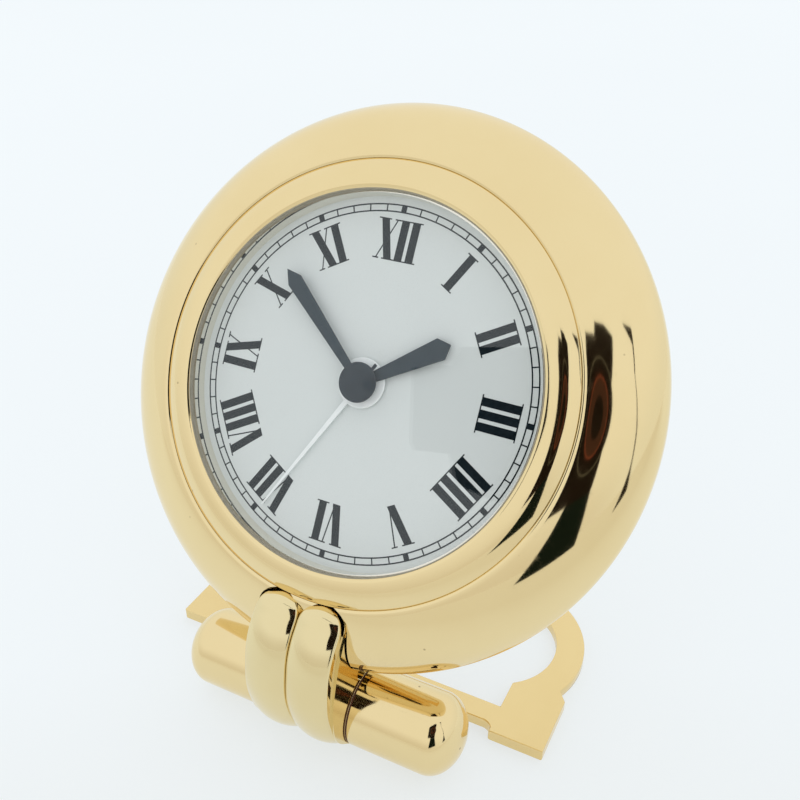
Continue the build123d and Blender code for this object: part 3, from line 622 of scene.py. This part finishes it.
def make_bail(gold):
    """The double gadroon with its neck and the hinge's centre knuckle."""
    seat, top = NOTCH_FLOOR - 0.02, VALLEY[0][1]
    hinge_y, hinge_z = hinge_in_dial.y, hinge_in_dial.z
    valley = [tuple(place) for place, _ in smooth_line(VALLEY)]
    outline = joined(
        valley,
        [(hinge_y, hinge_z)],
        three_point_arc(*NECK_HOLLOW, 10),
        [NECK_STEP, (seat, SEAT_START), (seat, top)],
    )
    core = prism(outline, lambda depth, z, x: (x, depth, z), -NECK_HALF, NECK_HALF)
    half = KNUCKLE_HALF + SEAM
    knuckle = [(0, -half), (BATON_R - BREAK, -half), (BATON_R, -half + BREAK),
               (BATON_R, half - BREAK), (BATON_R - BREAK, half), (0, half)]

    def about_knuckle(r, along, angle):
        return (along, hinge_y + r * math.cos(angle), hinge_z + r * math.sin(angle))

    parts = [core, lathe(knuckle, about_knuckle, closed=False, steps=SMALL_STEPS)]
    rod_front, rod_z = ROD_LINE[0]
    for side in (-1, 1):
        root = circle((side * GADROON_R, rod_z), ROD_R - BREAK)
        parts += [rod(side), prism(root, at_depth, rod_front, NECK_BACK)]
    piece = new_piece("gadroon_bail", merge(*parts), dial_frame, gold)
    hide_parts("bail")


def make_barrels(gold):
    """The two hinge barrels with their domed ends."""
    start = KNUCKLE_HALF + WASHER_T - SEAM
    dome = BARREL_TIP - DOME_START
    end = [(BATON_R * math.cos(math.radians(a)), DOME_START + dome * math.sin(math.radians(a)))
           for a in range(0, 91, 5)]
    for name, side in (("left", -1), ("right", 1)):
        profile = joined([(0, start), (BATON_R - BREAK, start), (BATON_R, start + BREAK)], end)
        profile = [(max(r, 0), side * along) for r, along in profile]
        bm = lathe(profile, about_hinge, closed=False, steps=HINGE_STEPS)
        piece = new_piece(name + "_barrel_body", bm, hinge_frame, gold, "stand")
        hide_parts(name + "_barrel")


def make_washers(material):
    """The two fibre washers in the hinge seams, almost flush with the barrels."""
    inner, outer = KNUCKLE_HALF + SEAM + BREAK, KNUCKLE_HALF + WASHER_T - SEAM - BREAK
    rim = BATON_R - WASHER_SINK
    rings = []
    for side in (-1, 1):
        profile = [(WASHER_BORE, side * inner), (rim, side * inner), (rim, side * outer),
                   (WASHER_BORE, side * outer)]
        rings.append(lathe(profile, about_hinge, steps=HINGE_STEPS))
    piece = new_piece("seam_washers", merge(*rings), hinge_frame, material, "stand")
    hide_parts("friction_washers")


def make_centre_cap(material):
    """The domed cap over the hands, rolled over at its rim."""
    profile = joined(three_point_arc(*CAP_DOME, 16), three_point_arc(*CAP_ROLL, 4),
                     [(CAP_R, CAP_BACK), (0, CAP_BACK)])
    cap = lathe(profile, about_dial, closed=False, steps=SMALL_STEPS)
    piece = new_piece("cap_body", cap, dial_frame, material, "minute")
    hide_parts("centre_cap")


def make_alarm_hand(white, black):
    """The white disc with one long thin pointer, and a dark insert in its slot: painted shade for
    the dark inside of the slit.
    """
    place = clock_place(ALARM_AT)
    disc = lathe(ALARM_DISC, about_dial, steps=SMALL_STEPS)
    slot = prism(ALARM_SLOT, place, *SLOT_HEIGHTS)
    hand = merge(subtract(disc, slot), prism(ALARM_POINTER, place, *POINTER_HEIGHTS))
    piece = new_piece("alarm_body", hand, dial_frame, white, "alarm")
    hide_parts("alarm_hand")
    # A dark insert filling the slot: painted shade that makes the slit read dark.
    slot_shade = prism(ALARM_SLOT_SHADE, place, *SLOT_SHADE_HEIGHTS)
    piece = new_piece("alarm_slot_shade", slot_shade, dial_frame, black, "alarm")


# ---------------------------------------------------------------- printing on the dial
def stroke(bm, start, end, width, rise, place):
    """One printed bar between two points, cut level at both ends."""
    half = width / 2
    corners = [(start[0] - half, start[1]), (start[0] + half, start[1]),
               (end[0] + half, end[1]), (end[0] - half, end[1])]
    low = [bm.verts.new(place(x, z, 0.0)) for x, z in corners]
    high = [bm.verts.new(place(x, z, rise)) for x, z in corners]
    bm.faces.new(high)
    for k in range(4):
        following = (k + 1) % 4
        bm.faces.new((low[k], low[following], high[following], high[k]))


def letter_strokes(letter):
    """A letter's advance, and its strokes as (foot x, head x, width, serif ends)."""
    if letter == "I":
        return THICK, [(THICK / 2, THICK / 2, THICK, "both")]
    left = THICK / 2
    if letter == "V":
        thin, foot = THICK + V_SPREAD, left + V_FOOT
        return thin + SIDE_ROOM, [(foot, left, THICK, "head"),
                                  (foot + THIN_SHIFT, thin, THIN, "head")]
    thin = THICK + X_SPREAD
    return thin + SIDE_ROOM, [(thin - X_OFFSET, left, THICK, "both"),
                              (left - THIN_SHIFT, thin, THIN, "both")]


def make_numeral(bm, text, place):
    """A Roman numeral, centred, upright towards the dial's edge."""
    total = sum(letter_strokes(letter)[0] for letter in text) + LETTER_GAP * (len(text) - 1)
    cursor = -total / 2
    foot, head = NUMERAL_FOOT, NUMERAL_FOOT + NUMERAL_HEIGHT
    for letter in text:
        advance, strokes = letter_strokes(letter)
        for foot_x, head_x, width, serifs in strokes:
            rise = INK_RISE if width == THICK else LINE_RISE
            stroke(bm, (cursor + foot_x, foot), (cursor + head_x, head), width, rise, place)
            reach = width / 2 + SERIF_REACH
            ends = [(head_x, head)] + ([(foot_x, foot + SERIF)] if serifs == "both" else [])
            for x, z in ends:
                at = cursor + x
                stroke(bm, (at, z - SERIF), (at, z), 2 * reach, SERIF_RISE, place)
        cursor += advance + LETTER_GAP


def clock_place(angle):
    """Places a point drawn at the 12 o'clock position at an angle clockwise from 12."""
    turn = math.radians(angle)

    def place(x, z, rise):
        return (x * math.cos(turn) + z * math.sin(turn), -rise,
                z * math.cos(turn) - x * math.sin(turn))
    return place


def make_printing(material):
    """The numerals and the minute track, raised by the thickness of the ink."""
    numerals = bmesh.new()
    for hour, text in enumerate(NUMERALS):
        make_numeral(numerals, text, clock_place(30 * hour))
    piece = new_piece("dial_numerals", numerals, dial_frame, material)
    track = bmesh.new()
    for minute in range(60):
        width = BLOCK_WIDTH if minute % 5 == 0 else TICK_WIDTH
        place = clock_place(6 * minute)
        stroke(track, (0, TRACK_INNER), (0, TRACK_OUTER), width, LINE_RISE, place)
    rings = []
    for radius in (TRACK_INNER, TRACK_OUTER):
        inner, outer = radius - TRACK_LINE / 2, radius + TRACK_LINE / 2
        profile = [(inner, 0.0), (outer, 0.0), (outer, -INK_RISE), (inner, -INK_RISE)]
        rings.append(lathe(profile, about_dial))
    piece = new_piece("minute_track", merge(track, *rings), dial_frame, material)


# ---------------------------------------------------------------- carried-over CAD nodes
def dress(material, *names):
    """Give CAD nodes a material."""
    for name in names:
        for slot in frame["nodes"][name].material_slots:
            slot.material = material


def soften(name, width):
    """Round a CAD node's edges so that they catch the light."""
    node = frame["nodes"][name]
    weld = node.modifiers.new("weld", "WELD")
    weld.merge_threshold = 1e-6
    bevel = node.modifiers.new("bevel", "BEVEL")
    bevel.width = width * MM
    bevel.segments = 3
    bevel.limit_method = "ANGLE"
    bevel.angle_limit = math.radians(40)
    bevel.harden_normals = True


# ---------------------------------------------------------------- studio
def make_floor():
    """A white lit table: it glows softly, so nothing on it casts a hard shadow."""
    bpy.ops.mesh.primitive_plane_add(size=TABLE_SIZE, location=(0, 0, 0))
    floor = bpy.context.object
    floor.name = "studio_floor"
    m = Nodes("studio_table")
    place = m.add("ShaderNodeSeparateXYZ")
    m.link(m.object_place, place.inputs[0])
    toward_back = m.add("ShaderNodeMapRange")
    toward_back.inputs["From Min"].default_value = TABLE_BLEND[0]
    toward_back.inputs["From Max"].default_value = TABLE_BLEND[1]
    aside = m.math("MULTIPLY", place.outputs["X"], TABLE_SLANT)
    m.link(m.math("SUBTRACT", place.outputs["Y"], aside), toward_back.inputs["Value"])
    # The glow is dimmer and warmer towards the front: painted shade where less of the tent's light
    # reaches the table.
    glow = m.ramp(toward_back.outputs[0],
                  ((0.0, (0.50, 0.49, 0.455)), (1.0, (0.605, 0.635, 0.655))))
    cloud = m.ramp(m.noise(3.0), ((0.3, (0.29, 0.305, 0.31)), (0.7, (0.305, 0.32, 0.325))))
    m.colour(cloud)
    m.link(glow, m.shader.inputs["Emission Color"])
    m.set(Roughness=0.9, Specular_IOR_Level=0.1, Emission_Strength=1.0)
    floor.data.materials.append(m.material)


def make_world():
    """A white light tent that dims towards its foot, most of all in front."""
    world = bpy.data.worlds.new("light_tent")
    bpy.context.scene.world = world
    world.use_nodes = True
    tree = world.node_tree
    tree.nodes.clear()
    out = tree.nodes.new("ShaderNodeOutputWorld")
    back = tree.nodes.new("ShaderNodeBackground")
    place = tree.nodes.new("ShaderNodeTexCoord")
    split = tree.nodes.new("ShaderNodeSeparateXYZ")
    tree.links.new(place.outputs["Generated"], split.inputs[0])

    def blend(source, start, end):
        span = tree.nodes.new("ShaderNodeMapRange")
        span.interpolation_type = "SMOOTHSTEP"
        span.inputs["From Min"].default_value = start
        span.inputs["From Max"].default_value = end
        tree.links.new(source, span.inputs["Value"])
        return span.outputs[0]

    def mix(fac, low, high):
        node = tree.nodes.new("ShaderNodeMixRGB")
        tree.links.new(fac, node.inputs["Fac"])
        for socket, value in (("Color1", low), ("Color2", high)):
            if isinstance(value, tuple):
                node.inputs[socket].default_value = (*value, 1.0)
            else:
                tree.links.new(value, node.inputs[socket])
        return node.outputs[0]

    foot = mix(blend(split.outputs["Y"], *FOOT_BLEND), (0.77, 0.765, 0.735), (0.885, 0.925, 0.945))
    tent = mix(blend(split.outputs["Z"], *TENT_BLEND), foot, (0.945, 0.97, 0.985))
    tree.links.new(tent, back.inputs["Color"])
    tree.links.new(back.outputs[0], out.inputs["Surface"])


def make_camera():
    """The photographer's view: close, from above and to the right."""
    data = bpy.data.cameras.new("camera")
    data.lens = FOCAL_LENGTH
    data.sensor_width = SENSOR_WIDTH
    data.clip_start = 0.005
    camera = bpy.data.objects.new("camera", data)
    bpy.context.scene.collection.objects.link(camera)
    camera.location = Vector(CAMERA_PLACE) * MM
    forward = Vector(CAMERA_AIM).normalized()
    camera.rotation_euler = forward.to_track_quat("-Z", "Y").to_euler()
    bpy.context.scene.camera = camera
    return Matrix.LocRotScale(camera.location, camera.rotation_euler, Vector((MM, MM, MM)))


def make_card(name, outline, to_row, material):
    """A flat studio card that only reflections see."""
    bm = bmesh.new()
    bm.faces.new([bm.verts.new(point) for point in outline])
    mesh = bpy.data.meshes.new(name)
    bm.to_mesh(mesh)
    bm.free()
    mesh.transform(to_row)
    mesh.materials.append(material)
    card = bpy.data.objects.new(name, mesh)
    bpy.context.scene.collection.objects.link(card)
    card.visible_camera = False
    card.visible_diffuse = False
    card.visible_shadow = False
    card.visible_transmission = False


def make_reflected_camera(view):
    """The dark camera that the polished gold mirrors: body, grip, strap and lens front."""
    def in_plane(outline, level=0.0):
        return [(x, y, level) for x, y in outline]

    body = moulded("camera_body", (0.010, 0.006, 0.004), (0.016, 0.010, 0.007), sheen=0.0)
    grip = moulded("camera_grip", (0.005, 0.010, 0.008), (0.009, 0.015, 0.012), sheen=0.0)
    glass = moulded("lens_front", (0.05, 0.022, 0.014), (0.07, 0.03, 0.02), sheen=0.0)
    coating = moulded("lens_coating", (0.20, 0.05, 0.03), (0.26, 0.07, 0.04), sheen=0.0)
    rim = moulded("lens_rim", (0.13, 0.12, 0.10), (0.18, 0.17, 0.14), sheen=0.0)
    make_card("camera_body", in_plane(CAMERA_BODY), view, body)
    make_card("camera_grip", in_plane(CAMERA_GRIP), view, grip)
    make_card("camera_strap", in_plane(CAMERA_STRAP), view, body)
    lens = (("lens_rim", 25.0, rim), ("lens_barrel", 24.2, body), ("lens_ring", 17.2, coating),
            ("lens_front", 16.2, glass), ("lens_inside", 9.0, body))
    for layer, (name, radius, material) in enumerate(lens, start=1):
        outline = in_plane(circle(LENS_CENTRE, radius), -LENS_LAYER * layer)
        make_card(name, outline, view, material)


def make_dial_screen():
    """A small dark screen close to the crystal, which mirrors it faintly beside 3 o'clock.

    It leans so that the hinge sees only its edge.
    """
    black = moulded("screen_cloth", (0.003, 0.003, 0.003), (0.006, 0.006, 0.006), sheen=0.0)
    outline = [(x, SCREEN_DEPTH - SCREEN_LEAN * z, z) for x, z in DIAL_SCREEN]
    make_card("dial_screen", outline, dial_frame, black)


# ---------------------------------------------------------------- the scene
gold = plating("gold_plating", (0.87, 0.705, 0.395), (0.85, 0.68, 0.37), 0.05)
pale_gold = plating("bail_plating", (0.83, 0.70, 0.405), (0.80, 0.66, 0.365), 0.06)
stand_gold = plating("stand_plating", (0.86, 0.67, 0.335), (0.83, 0.635, 0.305), 0.12)
steel = brushed("steel", (0.60, 0.60, 0.61), (0.72, 0.72, 0.73))
brass = brushed("brass", (0.70, 0.55, 0.25), (0.80, 0.66, 0.34))
dark_lacquer = lacquer("hand_lacquer", (0.010, 0.026, 0.038), (0.016, 0.034, 0.048), 0.35,
                       sheen=0.25)
cap_lacquer = lacquer("cap_lacquer", (0.004, 0.014, 0.024), (0.008, 0.020, 0.032), 0.10,
                      bumpy=0.02, sheen=0.25)
white_lacquer = lacquer("alarm_lacquer", (0.86, 0.90, 0.90), (0.90, 0.93, 0.93), 0.35)
black_plastic = moulded("black_plastic", (0.020, 0.020, 0.022), (0.035, 0.035, 0.038))
gasket = moulded("gasket_rubber", (0.30, 0.27, 0.20), (0.36, 0.32, 0.24), 0.6)
fibre = moulded("washer_fibre", (0.075, 0.018, 0.008), (0.11, 0.03, 0.014), 0.6)
polished_wall = plating("rehaut_plating", (0.90, 0.86, 0.76), (0.86, 0.82, 0.72), 0.05)
board_mask = moulded("board_mask", (0.03, 0.16, 0.08), (0.04, 0.20, 0.10), 0.35)
coil_wire = brushed("coil_wire", (0.42, 0.17, 0.07), (0.55, 0.25, 0.10), 0.35,
                    along=(0.04, 1.0, 1.0))
dark_magnet = brushed("magnet", (0.28, 0.28, 0.30), (0.36, 0.36, 0.38), 0.4)

make_case(gold)
make_bezel(gold)
make_bail(pale_gold)
make_barrels(gold)
make_window(mineral_glass(), gasket, polished_wall)
make_washers(fibre)
make_centre_cap(cap_lacquer)
make_alarm_hand(white_lacquer, dark_lacquer)
make_printing(ink())

dress(gold, "case_back", "battery_hatch", "time_knob", "alarm_knob")
dress(stand_gold, "stand_plate")
dress(satin_dial(), "dial_plate")
dress(dark_lacquer, "minute_hand", "hour_hand")
dress(steel, "hinge_pin", "bail_screws", "case_back_screws", "movement_screws", "minute_arbor",
      "time_stem", "alarm_stem", "rotor_arbor", "stator", "battery_cell", "quartz_can")
dress(brass, "hour_wheel", "alarm_wheel", "motion_wheel", "centre_wheel", "third_wheel",
      "seconds_wheel", "drive_wheel", "main_plate", "back_plate", "buzzer_disc", "battery_contacts")
dress(black_plastic, "movement_holder", "battery_tray", "alarm_switch", "control_chip")
dress(board_mask, "circuit_board")
dress(coil_wire, "drive_coil")
dress(dark_magnet, "rotor_magnet")

for name, width in EDGE_WIDTHS.items():
    soften(name, width)

make_floor()
make_world()
make_reflected_camera(make_camera())
make_dial_screen()
bpy.context.scene.view_settings.view_transform = "Standard"
